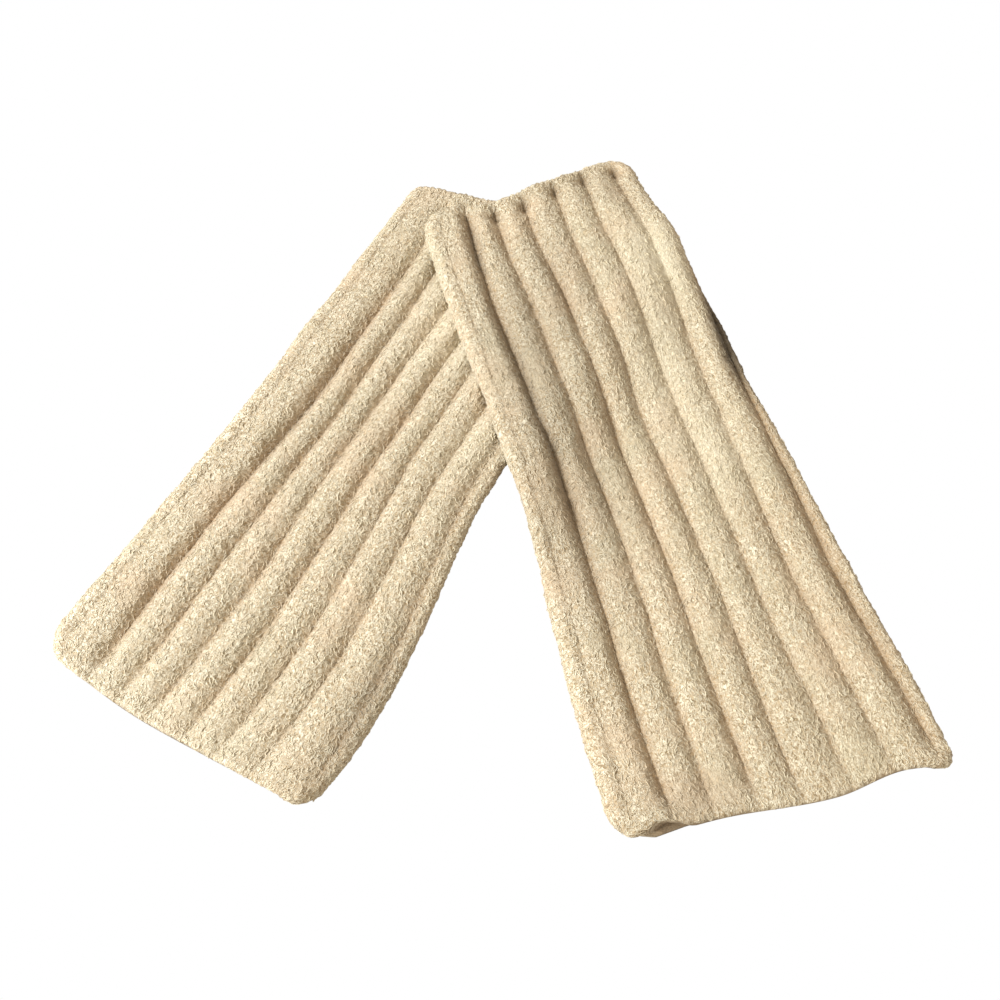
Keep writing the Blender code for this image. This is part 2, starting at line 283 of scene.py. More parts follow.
@dataclass(frozen=True)
class Warmer:
    """One arm warmer's own shape: where its top edge's middle lies, its heading, and its tables.

    The rib round its right fold is lower than the others, low_fold times as high, so that side slopes away.
    """

    name: str
    place: tuple[float, float]
    heading: float
    length: float
    low_fold: float
    corners: Corners
    stations: tuple[Station, ...]
    ends: tuple[EndPlace, ...]
    grooves: tuple[Groove, ...]
    pinches: tuple[Pinch, ...]
    painted_shade_bands: tuple[PaintedShadeBand, ...]
    painted_shading_clouds: tuple[PaintedShadingCloud, ...]
    lift: HemLift | None

    def outlines(self, along: Array) -> tuple[Array, Array]:
        """Reads the smooth curves through the stations' places.

        Args:
            along: Distances along the warmer.

        Returns:
            The left and the right outline's places across it there.
        """
        rows = [row.along for row in self.stations]
        left = through(rows, [row.left for row in self.stations], along)
        right = through(rows, [row.right for row in self.stations], along)
        return -left, right

    def end_edges(self, share: Array) -> tuple[Array, Array]:
        """Reads the smooth curves through the table of the ends.

        Args:
            share: Shares of the width, from 0 on the left outline to 1 on the right one.

        Returns:
            How far along the top edge and the hem lie there.
        """
        places = [row.across for row in self.ends]
        top = through(places, [row.top for row in self.ends], share)
        hem = through(places, [row.hem for row in self.ends], share)
        return top, hem

    def share_across(self, along: Array, across: Array) -> Array:
        """A place's share of the width: 0 on the left outline and 1 on the right one."""
        left, right = self.outlines(along)
        return (across - left) / (right - left)

    def sides(self, rows: Array) -> Sides:
        """The plain section's sides in each row, inside the ribs that stand past them.

        A corner's quarter circle pulls a side in by its radius less the root of the radius squared less
        the square of how far the row is past the circle's start.

        Args:
            rows: The rows as shares of the length.

        Returns:
            The sides' places across the warmer in each row.
        """
        along = rows * self.length
        left, right = self.outlines(along)
        left, right = left + TUBE_WALL.side_rib, right - TUBE_WALL.side_rib * self.low_fold
        radii = self.corners
        rest = self.length - along
        left_cut = corner_cut(radii.top_left, along) + corner_cut(radii.hem_left, rest)
        right_cut = corner_cut(radii.top_right, along) + corner_cut(radii.hem_right, rest)
        return Sides(left, right, left + left_cut, right - right_cut)

    def to_table(self, along: Array, across: Array) -> tuple[Array, Array]:
        """Turns places in the warmer's frame into places on the table."""
        cos, sin = math.cos(math.radians(self.heading)), math.sin(math.radians(self.heading))
        return self.place[0] + along * cos - across * sin, self.place[1] + along * sin + across * cos

    def from_table(self, x: Array, y: Array) -> tuple[Array, Array]:
        """Turns places on the table into places in the warmer's frame.

        Args:
            x: The places' distances along the table's X.
            y: The same along its Y.

        Returns:
            How far along and across the warmer they lie.
        """
        cos, sin = math.cos(math.radians(self.heading)), math.sin(math.radians(self.heading))
        x, y = x - self.place[0], y - self.place[1]
        return x * cos + y * sin, y * cos - x * sin

    def inside_by(self, x: Array, y: Array) -> Array:
        """Measures places on the table against the outline: the nearest of its four sides counts.

        Args:
            x: The places' distances along the table's X.
            y: The same along its Y.

        Returns:
            How far inside the outline each one lies, and less than 0 outside it.
        """
        along, across = self.from_table(x, y)
        left, right = self.outlines(along)
        top, hem = self.end_edges(np.clip((across - left) / (right - left), 0.0, 1.0))
        return np.minimum(np.minimum(across - left, right - across), np.minimum(along - top, hem - along))


def corner_cut(radius: float, from_end: Array) -> Array:
    """How far a quarter circle of this radius pulls a side in, this far from the end it turns into."""
    short = np.maximum(0.0, radius - from_end)
    return radius - np.sqrt(radius * radius - short * short)


def corner_shift(inward: Array, cut: Array) -> Array:
    """How far a groove this far in from a side leans over with a corner's cut: less further in."""
    reach = np.maximum(TUBE_ENDS.corner_give * cut, 1e-6)
    return cut * np.clip(1.0 - inward / reach, 0.0, 1.0)


LEFT = Warmer(
    name="warmer_left",
    place=(15.5, 133.1),
    heading=-119.0,
    length=292.0,
    low_fold=0.15,
    corners=Corners(4.5, 8.0, 12.0, 9.0),
    stations=(
        Station(0.0, 56.0, 57.0),
        Station(50.0, 55.8, 57.4),
        Station(100.0, 57.2, 58.2),
        Station(130.0, 56.8, 58.2),
        Station(156.0, 57.0, 58.4),
        Station(185.0, 58.0, 62.0),
        Station(214.0, 60.0, 66.6),
        Station(241.0, 61.8, 69.0),
        Station(268.0, 63.2, 68.2),
        Station(292.0, 63.8, 65.4),
    ),
    ends=(
        EndPlace(0.0, 11.0, 289.5),
        EndPlace(0.12, 7.5, 291.6),
        EndPlace(0.35, 1.5, 294.8),
        EndPlace(0.65, -5.0, 294.6),
        EndPlace(0.85, -10.0, 293.8),
        EndPlace(1.0, -13.0, 293.6),
    ),
    grooves=(
        Groove(0.032, 0.036, 0.040, 0.038, 0.042, 0.25),
        Groove(0.160, 0.190, 0.197, 0.164, 0.180, 1.4),
        Groove(0.260, 0.302, 0.317, 0.295, 0.299, 1.05),
        Groove(0.382, 0.434, 0.430, 0.425, 0.413, 1.05),
        Groove(0.515, 0.566, 0.563, 0.554, 0.543, 1.2),
        Groove(0.645, 0.686, 0.683, 0.687, 0.665, 0.9),
        Groove(0.770, 0.812, 0.812, 0.810, 0.796, 0.85),
        Groove(0.915, 0.935, 0.943, 0.948, 0.965, 0.9),
    ),
    pinches=(
        Pinch(1, 8.0, 75.0, -0.6),
        Pinch(2, 5.0, 45.0, -0.4),
        Pinch(1, 125.0, 60.0, 0.4),
        Pinch(4, 125.0, 45.0, 0.2),
    ),
    # Painted shade beside grooves, where the sides fall away from the light
    painted_shade_bands=(PaintedShadeBand(7, 250.0, 60.0, 6.5, 0.32), PaintedShadeBand(1, 135.0, 60.0, 2.0, 0.2)),
    # Painted shade, and painted light where below 0, in large soft areas
    painted_shading_clouds=(
        PaintedShadingCloud(70.0, 6.0, 34.0, 22.0, -0.5),
        PaintedShadingCloud(128.0, 44.0, 20.0, 12.0, -0.25),
        PaintedShadingCloud(285.0, 0.0, 14.0, 50.0, -0.2),
    ),
    lift=None,
)

RIGHT = Warmer(
    name="warmer_right",
    place=(18.3, 142.5),
    heading=-72.4,
    length=307.0,
    low_fold=0.35,
    corners=Corners(9.0, 9.0, 10.0, 8.0),
    stations=(
        Station(0.0, 55.4, 53.0),
        Station(30.0, 56.8, 54.0),
        Station(56.0, 57.0, 58.8),
        Station(80.0, 57.0, 61.0),
        Station(130.0, 56.2, 61.2),
        Station(170.0, 56.8, 63.2),
        Station(210.0, 60.0, 65.0),
        Station(250.0, 63.8, 67.0),
        Station(280.0, 65.4, 69.0),
        Station(307.0, 66.2, 69.6),
    ),
    ends=(
        EndPlace(0.0, 3.0, 304.0),
        EndPlace(0.12, 2.5, 306.0),
        EndPlace(0.3, 5.6, 307.4),
        EndPlace(0.64, -2.0, 313.2),
        EndPlace(0.88, -9.5, 312.0),
        EndPlace(1.0, -8.0, 317.6),
    ),
    grooves=(
        Groove(0.042, 0.036, 0.028, 0.036, 0.040, 0.3),
        Groove(0.172, 0.142, 0.145, 0.149, 0.150, 1.3),
        Groove(0.294, 0.287, 0.277, 0.285, 0.268, 1.0),
        Groove(0.438, 0.429, 0.409, 0.409, 0.402, 1.05),
        Groove(0.600, 0.560, 0.539, 0.542, 0.520, 0.95),
        Groove(0.756, 0.705, 0.682, 0.668, 0.676, 0.8),
        Groove(0.922, 0.868, 0.830, 0.803, 0.811, 0.85),
        Groove(1.045, 1.008, 0.974, 0.947, 0.957, 1.4),
    ),
    pinches=(
        Pinch(1, 14.0, 28.0, 0.45),
        Pinch(1, 60.0, 40.0, 0.15),
        Pinch(1, 170.0, 45.0, 0.1),
        Pinch(2, 22.0, 18.0, 0.2),
        Pinch(3, 50.0, 35.0, 0.25),
        Pinch(7, 105.0, 60.0, 0.4),
        *(Pinch(groove, 8.0, 6.0, 0.9) for groove in range(1, 7)),
    ),
    # Painted shade beside grooves, where the sides fall away from the light
    painted_shade_bands=(
        PaintedShadeBand(7, 104.0, 42.0, 4.6, 1.4),
        PaintedShadeBand(1, 24.0, 30.0, 2.4, 0.5),
        PaintedShadeBand(1, 130.0, 90.0, 2.4, 0.35),
        *(PaintedShadeBand(groove, 7.0, 6.0, 1.8, 0.5) for groove in range(2, 7)),
    ),
    # Painted shade, and painted light where below 0, in large soft areas
    painted_shading_clouds=(
        PaintedShadingCloud(100.0, -34.0, 60.0, 19.0, 0.3),
        PaintedShadingCloud(180.0, -42.0, 44.0, 16.0, 0.18),
        PaintedShadingCloud(60.0, -5.0, 34.0, 14.0, 0.18),
        PaintedShadingCloud(165.0, -20.0, 24.0, 9.0, 0.14),
        PaintedShadingCloud(69.0, 43.0, 23.0, 14.0, -0.7),
        PaintedShadingCloud(108.0, 24.0, 30.0, 14.0, -0.35),
        PaintedShadingCloud(158.0, 31.0, 24.0, 13.0, -0.35),
        PaintedShadingCloud(300.0, -35.0, 14.0, 28.0, 0.18),
    ),
    lift=HemLift(0.135, 0.10, 34.0, 2.4, 3.5),
)


@dataclass(frozen=True)
class Flat:
    """A warmer that lies on the table all over."""

    def height(self, x: Array, y: Array) -> Array:
        """How high its underside lies at places on the table."""
        return np.zeros_like(x)


@dataclass(frozen=True)
class Across:
    """A warmer that lies level on another one and comes down beside it in a soft slope."""

    lower: Warmer
    clearance: float = 0.6
    ledge: float = 3.0
    slope: float = 42.0

    def height(self, x: Array, y: Array) -> Array:
        """How high its underside lies at places on the table.

        It is the lower warmer's full height and the clearance, times one less the smooth step of the
        distance past that one's right side and top edge over the slope's length.

        Args:
            x: The places' distances along the table's X.
            y: The same along its Y.

        Returns:
            The heights there.
        """
        along, across = self.lower.from_table(x, y)
        left, right = self.lower.outlines(along)
        top, _ = self.lower.end_edges(np.clip((across - left) / (right - left), 0.0, 1.0))
        past_side = np.maximum(across - right - self.ledge, 0.0)
        past_top = np.maximum(top - along - self.ledge, 0.0)
        perch = TUBE_WALL.body + TUBE_WALL.rib + self.clearance
        return perch * (1.0 - smooth(np.hypot(past_side, past_top) / self.slope))


@dataclass(frozen=True)
class Grain:
    """One kind of soft unevenness in the knit: its size round the tube and along, its shift, its height."""

    around: float
    along: float
    shift: float
    height: float


@dataclass(frozen=True)
class Yarn:
    """The knit's own relief over the ribs, with its sizes: how high each kind stands, and how long it is.

    A stitch's height swings by stitch_swing of it to both sides. The grooves wander, and their depth comes
    and goes by the share uneven. The relief starts clear_from above the table and is in full clear_over
    higher. Under another warmer it is pressed in by press_depth, in full press_over inside its outline.
    """

    columns: int = 4
    fold_columns: int = 3
    stitch: float = 3.1
    lean: float = 0.8
    stitch_height: float = 0.42
    stitch_swing: float = 0.4
    grains: tuple[Grain, ...] = (
        Grain(1.5, 1.95, 0.0, 0.22),
        Grain(1.5 / 1.7, 1.0, 40.0, 0.132),
        Grain(5.0, 7.0, 0.0, 0.22),
        Grain(26.0, 26.0, 0.0, 0.5),
    )
    bead: float = 2.7
    bead_height: float = 0.4
    bead_reach: float = 2.6
    wander: float = 20.0
    wander_width: float = 0.5
    uneven: float = 0.15
    uneven_length: float = 26.0
    crease: float = 0.2
    crease_width: float = 1.1
    clear_from: float = 0.8
    clear_over: float = 2.2
    press_over: float = 6.0
    press_depth: float = 0.2


class ShellGrid:
    """A warmer's fine surface as rows of points: out over the wool from top edge to hem, back in the hollow.

    Each outer row is one closed section. It starts at the bottom of the left fold, crosses the top layer's
    ribs, turns round the right fold and comes back along the underside. The lanes are how far apart the
    grooves' own noises are read, and the groove shade sizes say how wide and strong their painted shade is.
    """

    LIP_ROWS = (0.0, 0.3, 0.6, 1.0, 1.5, 2.1, 2.8)
    ROW_STEP = 0.86
    RIB_POINTS = 21
    FOLD_POINTS = 18
    UNDER_POINTS = 9
    INNER_ROWS = 30
    WANDER_LANE = 7.3
    UNEVEN_LANE = 5.7
    GROOVE_SHADE_WIDTH = 2.3
    GROOVE_SHADE_WIDTH_DEPTHS = (0.5, 1.5)
    GROOVE_SHADE_DEPTHS = (0.0, 1.4)
    # Painted shade over the hollow's inner rows
    HOLLOW_SHADE = 1.2

    def __init__(
        self, warmer: Warmer, drape: Flat | Across, yarn: Yarn, above: Warmer | None, seed: int
    ) -> None:
        """Works out the grid.

        Args:
            warmer: The warmer's own shape.
            drape: How its underside lies.
            yarn: The relief of its knit.
            above: The warmer that lies across it, which presses its relief flat, or None.
            seed: Where its random numbers start.
        """
        self.warmer = warmer
        self.drape = drape
        self.yarn = yarn
        self.above = above
        self.seed = seed
        self.rows = self._rows()
        self.top_count = (len(warmer.grooves) - 1) * self.RIB_POINTS + 2 * self.FOLD_POINTS + 1
        self._outer()
        self._relief()

    def _rows(self) -> Array:
        """Spaces the outer rows: close at both lips and even between them.

        Returns:
            The rows as shares of the length, from the top edge to the hem.
        """
        lips = np.array(self.LIP_ROWS)
        length = self.warmer.length
        count = round((length - 2 * lips[-1]) / self.ROW_STEP)
        middle = np.linspace(lips[-1], length - lips[-1], count + 1)[1:-1]
        return np.concatenate([lips, middle, (length - lips)[::-1]]) / length

    def _groove_lines(self, sides: Sides) -> tuple[Array, Array]:
        """Each groove's place and depth in each row, with the two fold ends as the first and last ones.

        A groove wanders a little to each side of its table, and its depth comes and goes and fades near both
        ends. A pinch adds to it by its own depth times the smooth step over half its length.

        Args:
            sides: The plain section's sides in each row.

        Returns:
            The places as lengths over the cloth, and the depths as shares of a rib's height.
        """
        yarn, along = self.yarn, self.rows * self.warmer.length
        wander, uneven = SoftNoise(self.seed + 1), SoftNoise(self.seed + 2)
        from_end = np.minimum(along, self.warmer.length - along)
        kept = TUBE_ENDS.groove_left + (1.0 - TUBE_ENDS.groove_left) * smooth(from_end / TUBE_ENDS.fade)
        turn = TUBE_WALL.fold_radius * (math.pi - 1.0)
        left_cut, right_cut = sides.cut_left - sides.left, sides.right - sides.cut_right
        places, depths = [sides.cut_left - turn], [np.ones_like(along)]
        for number, groove in enumerate(self.warmer.grooves):
            place = sides.left + groove.across(self.rows) * (sides.right - sides.left)
            place = place + corner_shift(place - sides.left, left_cut)
            place = place - corner_shift(sides.right - place, right_cut)
            lane = np.full_like(along, number)
            place = place + yarn.wander_width * wander(along / yarn.wander, self.WANDER_LANE * lane)
            swing = yarn.uneven * uneven(along / yarn.uneven_length, self.UNEVEN_LANE * lane)
            depth = kept * groove.depth * (1.0 + swing)
            for pinch in self.warmer.pinches:
                if pinch.groove == number:
                    near = smooth(1.0 - np.abs(along - pinch.along) / pinch.half_length)
                    depth = depth + pinch.depth * near
            places.append(place)
            depths.append(np.clip(depth, 0.0, TUBE_WALL.deepest))
        places.append(sides.cut_right + turn)
        depths.append(np.ones_like(along))
        return np.stack(places, axis=1), np.stack(depths, axis=1)

    def _outer(self) -> None:
        """Works out the ribbed section in every row, and lays it on the table.

        A length over the cloth equals the place across on the flat top. Past it the section turns round a
        half circle. Between two grooves the rib falls from its crest to the grooves' floors, by the distance
        from its middle as a share of half its width, to the power of the rib's fullness. The distance is
        eased near a groove, by the root of its square and the valley's radius squared.
        """
        wall, ends = TUBE_WALL, TUBE_ENDS
        sides = self.warmer.sides(self.rows)
        lines, depths = self._groove_lines(sides)
        stretches = len(self.warmer.grooves) + 1
        counts = [self.FOLD_POINTS] + [self.RIB_POINTS] * (stretches - 2) + [self.FOLD_POINTS]
        self.stretch = np.concatenate([np.repeat(np.arange(stretches), counts), [stretches - 1]])
        shares = [np.arange(count) / count for count in counts]
        self.share = np.concatenate([*shares, [1.0]])
        width = lines[:, self.stretch + 1] - lines[:, self.stretch]
        lengths = lines[:, self.stretch] + self.share * width
        from_end = np.minimum(self.rows, 1.0 - self.rows) * self.warmer.length
        short = np.maximum(0.0, 1.0 - from_end / ends.lip)
        drop = ends.drop * (1.0 - np.sqrt(1.0 - short * short))
        self.to_groove = np.minimum(self.share, 1.0 - self.share) * width
        eased = np.hypot(self.to_groove, wall.valley_round) - wall.valley_round
        half_rib = np.hypot(width / 2, wall.valley_round) - wall.valley_round
        off_middle = np.maximum(0.0, 1.0 - eased / half_rib) ** wall.rib_fullness
        first_half = self.share < 0.5
        depth = np.where(first_half, depths[:, self.stretch], depths[:, self.stretch + 1])
        at_side = (self.stretch == 0) & first_half | (self.stretch == stretches - 1) & ~first_half
        lowered = np.where(self.stretch == stretches - 1, self.warmer.low_fold, 1.0)
        crest = wall.rib * lowered * np.minimum(1.0, width / wall.full_rib)
        rib = crest * (1.0 - off_middle) + wall.rib * (1.0 - depth) * off_middle
        self.groove_depth = np.where(at_side, 0.0, depth)
        crease = self.yarn.crease * np.exp(-((self.to_groove / self.yarn.crease_width) ** 2))
        rib = rib - self.groove_depth * crease
        flat_left = (sides.cut_left + wall.fold_radius)[:, None]
        flat_right = (sides.cut_right - wall.fold_radius)[:, None]
        angle = np.maximum(lengths - flat_right, flat_left - lengths) / wall.fold_radius
        angle = np.clip(angle, 0.0, math.pi)
        side = np.where(lengths < flat_left, -1.0, 1.0)
        round_fold = np.minimum(angle, math.pi / 2)
        reach = rib - drop[:, None] * np.cos(np.maximum(angle - math.pi / 2, 0.0))
        plain = np.clip(lengths, flat_left, flat_right) + side * wall.fold_radius * np.sin(angle)
        across = plain + side * reach * np.sin(round_fold)
        height = wall.fold_radius * (1.0 + np.cos(angle)) + reach * np.cos(round_fold)
        step = np.arange(1, self.UNDER_POINTS) / self.UNDER_POINTS
        under = flat_right + (flat_left - flat_right) * step
        self.lengths = np.concatenate([lengths, lengths[:, -1:] + (flat_right - under)], axis=1)
        self.plain = np.concatenate([plain, under], axis=1)
        self.below = np.concatenate([angle > math.pi / 2, np.ones_like(under, bool)], axis=1)
        self.height = np.concatenate([height, np.zeros_like(under)], axis=1)
        across = np.concatenate([across, under], axis=1)
        self.sections = sides
        self.base = self._laid(self.rows, across, self.height)

    def _laid(self, rows: Array, across: Array, height: Array) -> Array:
        """Sets sections' points on the table, with slanting ends, a lifted hem and the drape.

        Args:
            rows: The rows as shares of the length.
            across: Each row's places across.
            height: Each row's heights over the underside.

        Returns:
            The points in the table's frame, rows by columns by 3.
        """
        warmer, wall, ends = self.warmer, TUBE_WALL, TUBE_ENDS
        down = rows[:, None] * warmer.length
        share = warmer.share_across(down, across)
        top, hem = warmer.end_edges(np.clip(share, 0.0, 1.0))
        along = top + rows[:, None] * (hem - top)
        above = smooth((height - wall.under - wall.slit / 4) / (wall.slit / 2))
        near_top = smooth(1.0 - down / ends.tuck_reach)
        near_hem = smooth(1.0 - (warmer.length - down) / ends.tuck_reach)
        arch = np.zeros_like(across)
        if warmer.lift is not None:
            lift = warmer.lift
            near = smooth(1.0 - (warmer.length - down) / lift.reach)
            arch = near * smooth(1.0 - np.abs(share - lift.across) / lift.half_width)
            height = height + arch * above * lift.rise
            along = along - arch * above * lift.setback
        along = along - ends.tuck * (1.0 - above) * (near_hem * (1.0 - arch) - near_top)
        x, y = warmer.to_table(along, across)
        return np.stack([x, y, height + self.drape.height(x, y)], axis=-1)

    def _relief(self) -> None:
        """Moves the outer points out along the surface by the yarn's relief.

        A stitch is a pair of legs that lean out from its column's middle: the relief is the sine over each
        leg's width times a share of the cosine of the distance along in stitches, which the lean shifts.
        The grains are soft noise, each with a seed of its own after the grooves' two, and the beads are a
        cosine along the lips.
        """
        yarn = self.yarn
        self.normals = self._normals(self.base)
        along = self.rows[:, None] * self.warmer.length
        on_fold = (self.stretch == 0) | (self.stretch == self.stretch[-1])
        count = np.where(on_fold, yarn.fold_columns, yarn.columns)
        self.column = self.share * count
        off = np.abs(2.0 * (self.column % 1.0) - 1.0)
        leg = np.sin(math.pi * off)
        swing = yarn.stitch_swing * np.cos(2 * math.pi * (along / yarn.stitch + yarn.lean * off))
        stitch = leg * (1.0 - yarn.stitch_swing + swing)
        round_it = self.lengths[:, : self.top_count]
        from_end = np.minimum(along, self.warmer.length - along)
        scallop = 0.5 + 0.5 * np.cos(2 * math.pi * round_it / yarn.bead)
        bead = scallop * smooth(1.0 - from_end / yarn.bead_reach)
        relief = yarn.stitch_height * stitch + yarn.bead_height * bead
        for number, grain in enumerate(yarn.grains, start=3):
            noise = SoftNoise(self.seed + number)
            around = round_it / grain.around + grain.shift
            relief = relief + grain.height * noise(around, along / grain.along)
        clear = smooth((self.height[:, : self.top_count] - yarn.clear_from) / yarn.clear_over)
        relief = relief * clear
        if self.above is not None:
            pressed = smooth(self.covered_by(self.base[:, : self.top_count]) / yarn.press_over)
            relief = relief * (1.0 - pressed) - yarn.press_depth * pressed * clear
        self.points = self.base.copy()
        self.points[:, : self.top_count] += self.normals[:, : self.top_count] * relief[..., None]
        self.points[..., 2] = np.maximum(self.points[..., 2], 0.0)

    def covered_by(self, points: Array) -> Array:
        """Measures points against the outline of the warmer above.

        Args:
            points: Points in the table's frame.

        Returns:
            How far inside that outline each one lies, and -1 for all if there is no warmer above.
        """
        if self.above is None:
            return np.full(points.shape[:-1], -1.0)
        return self.above.inside_by(points[..., 0], points[..., 1])

    def _normals(self, points: Array) -> Array:
        """Finds the surface's outward directions: the cross products of the steps along and across.

        Args:
            points: The surface's points, rows by columns by 3.

        Returns:
            The directions at the points, each with a length of 1.
        """
        down = np.gradient(points, axis=0)
        across = np.roll(points, -1, axis=1) - np.roll(points, 1, axis=1)
        return unit(np.cross(down, across))

    def inner(self) -> Array:
        """The hollow's rows, from hem to top edge: a plain slit that closes to an edge inside each fold.

        Each point lies at the same share of the width as the outer one, above or below the slit's middle by
        half its height times one less the distance from the width's middle to the power of its fullness.

        Returns:
            The points in the table's frame, rows by columns by 3.
        """
        wall = TUBE_WALL
        rows = np.linspace(1.0, 0.0, self.INNER_ROWS)
        sides = self.warmer.sides(rows)
        nearest = np.clip(np.searchsorted(self.rows, rows), 0, len(self.rows) - 1)
        outer_left = self.sections.cut_left[nearest][:, None]
        outer_right = self.sections.cut_right[nearest][:, None]
        share = np.clip((self.plain[nearest] - outer_left) / (outer_right - outer_left), 0.0, 1.0)
        left, right = (sides.cut_left + wall.side_wall)[:, None], (sides.cut_right - wall.side_wall)[:, None]
        half = wall.slit / 2 * (1.0 - np.abs(2.0 * share - 1.0) ** wall.slit_fullness)
        middle = wall.under + wall.slit / 2
        height = middle + np.where(self.below[nearest], -half, half)
        return self._laid(rows, left + share * (right - left), height)

    def groove_shade(self) -> Array:
        """How much painted shade each outer point gets in a groove: its groove's depth at the bottom, less
        beside it.

        It falls off as a bell curve does, which is wider for a deep groove than for a shallow one.

        Returns:
            The painted shade's depths, rows by columns.
        """
        width = self.GROOVE_SHADE_WIDTH * np.clip(self.groove_depth, *self.GROOVE_SHADE_WIDTH_DEPTHS)
        near = np.exp(-((self.to_groove / width) ** 2)) * np.clip(self.groove_depth, *self.GROOVE_SHADE_DEPTHS)
        return np.concatenate([near, np.zeros((len(self.rows), self.UNDER_POINTS - 1))], axis=1)

    def tone(self) -> Array:
        """How much painted shade each outer point's wool gets, or painted light below 0.

        A cloud of painted shading is a bell curve of the distance from its middle in lengths and widths. A
        band of painted shade is one of the distance from its groove, times the smooth step over half its
        length.

        Returns:
            The painted shading, rows by columns, from -1 to 1.
        """
        along = self.rows[:, None] * self.warmer.length
        across = self.plain
        tone = np.zeros_like(across)
        for shading_cloud in self.warmer.painted_shading_clouds:
            off = ((along - shading_cloud.along) / shading_cloud.length) ** 2 + ((across - shading_cloud.across) / shading_cloud.width) ** 2
            tone = tone + shading_cloud.strength * np.exp(-off)
        nearest = np.where(self.share < 0.5, self.stretch - 1, self.stretch)
        for painted_band in self.warmer.painted_shade_bands:
            reach = smooth(1.0 - np.abs(along - painted_band.along) / painted_band.half_length) * (nearest == painted_band.groove)
            dark = painted_band.strength * reach * np.exp(-((self.to_groove / painted_band.width) ** 2))
            tone[:, : self.top_count] += dark
        return np.clip(tone, -1.0, 1.0)


@dataclass(frozen=True)
class Faces:
    """A mesh's corners, as one row of point numbers for each face, and each corner's place on its map."""

    corners: Array
    places: Array


def make_object(name: str, points: Array, kinds: list[Faces]) -> bpy.types.Object:
    """Makes a mesh object from arrays, in metres, with its bake map.

    Args:
        name: The object's name.
        points: The points in millimetres, one in each row.
        kinds: Its faces, those with the same number of corners together.

    Returns:
        The object, linked to the scene and shaded smooth.
    """
    mesh = bpy.data.meshes.new(name)
    corners = np.concatenate([kind.corners.ravel() for kind in kinds])
    sizes = np.concatenate([np.full(len(kind.corners), kind.corners.shape[1]) for kind in kinds])
    mesh.vertices.add(len(points))
    mesh.vertices.foreach_set("co", (points * MM).astype(np.float32).ravel())
    mesh.loops.add(len(corners))
    mesh.loops.foreach_set("vertex_index", corners.astype(np.int32))
    mesh.polygons.add(len(sizes))
    starts = np.concatenate([[0], np.cumsum(sizes)[:-1]])
    mesh.polygons.foreach_set("loop_start", starts.astype(np.int32))
    mesh.update(calc_edges=True)
    places = np.concatenate([kind.places.reshape(-1, 2) for kind in kinds])
    layer = mesh.uv_layers.new(name="OFBake")
    layer.uv.foreach_set("vector", places.astype(np.float32).ravel())
    mesh.polygons.foreach_set("use_smooth", np.ones(len(sizes), bool))
    item = bpy.data.objects.new(name, mesh)
    bpy.context.scene.collection.objects.link(item)
    return item


def add_attribute(item: bpy.types.Object, name: str, values: Array) -> None:
    """Gives each point of an object a number or a vector that its material reads by name.

    Args:
        item: The object.
        name: The attribute's name.
        values: One number for each point, or one row of three.
    """
    kind, key = ("FLOAT", "value") if values.ndim == 1 else ("FLOAT_VECTOR", "vector")
    layer = item.data.attributes.new(name, kind, "POINT")
    layer.data.foreach_set(key, values.astype(np.float32).ravel())


def quad_faces(rows: int, columns: int, quad_rows: int, steps: Steps) -> Faces:
    """Works out the quads of a grid that closes on itself across, on a square map.

    Args:
        rows: The grid's rows of points.
        columns: Its columns of points.
        quad_rows: Its rows of quads: as many as rows of points where it closes on itself along, too.
        steps: The steps down and across from a quad's first corner to its four.

    Returns:
        The quads, each with its own place on the map.
    """
    row, column = np.meshgrid(np.arange(quad_rows), np.arange(columns), indexing="ij")
    row, column = row.ravel(), column.ravel()
    corners = np.stack([(row + a) % rows * columns + (column + b) % columns for a, b in steps], axis=1)
    places = np.stack(
        [np.stack([(column + b) / columns, (row + a) / rows], axis=1) for a, b in steps], axis=1
    )
    return Faces(corners, places)


def build_shell(grid: ShellGrid, name: str) -> bpy.types.Object:
    """Makes a warmer's knitted shell: its outer rows and the hollow's, closed round both open ends.

    Args:
        grid: The warmer's fine surface.
        name: The piece's name.

    Returns:
        The object, with each point's place on the cloth, painted groove shade and painted shading as
        attributes.
    """
    inner = grid.inner()
    points = np.concatenate([grid.points, inner])
    rows, columns = points.shape[:2]
    faces = quad_faces(rows, columns, rows, SHELL_STEPS)
    item = make_object(name, points.reshape(-1, 3), [faces])
    cloth = np.zeros((rows, columns, 3))
    cloth[: len(grid.rows), :, 0] = grid.lengths
    cloth[: len(grid.rows), :, 1] = grid.rows[:, None] * grid.warmer.length
    cloth[len(grid.rows) :, :, 0] = grid.lengths[0]
    cloth[len(grid.rows) :, :, 1] = np.linspace(1.0, 0.0, len(inner))[:, None] * grid.warmer.length
    add_attribute(item, "cloth", cloth.reshape(-1, 3))
    groove_shade = np.full((rows, columns), grid.HOLLOW_SHADE)
    groove_shade[: len(grid.rows)] = grid.groove_shade()
    add_attribute(item, "groove_shade", groove_shade.ravel())
    tone = np.zeros((rows, columns))
    tone[: len(grid.rows)] = grid.tone()
    add_attribute(item, "tone", tone.ravel())
    return item


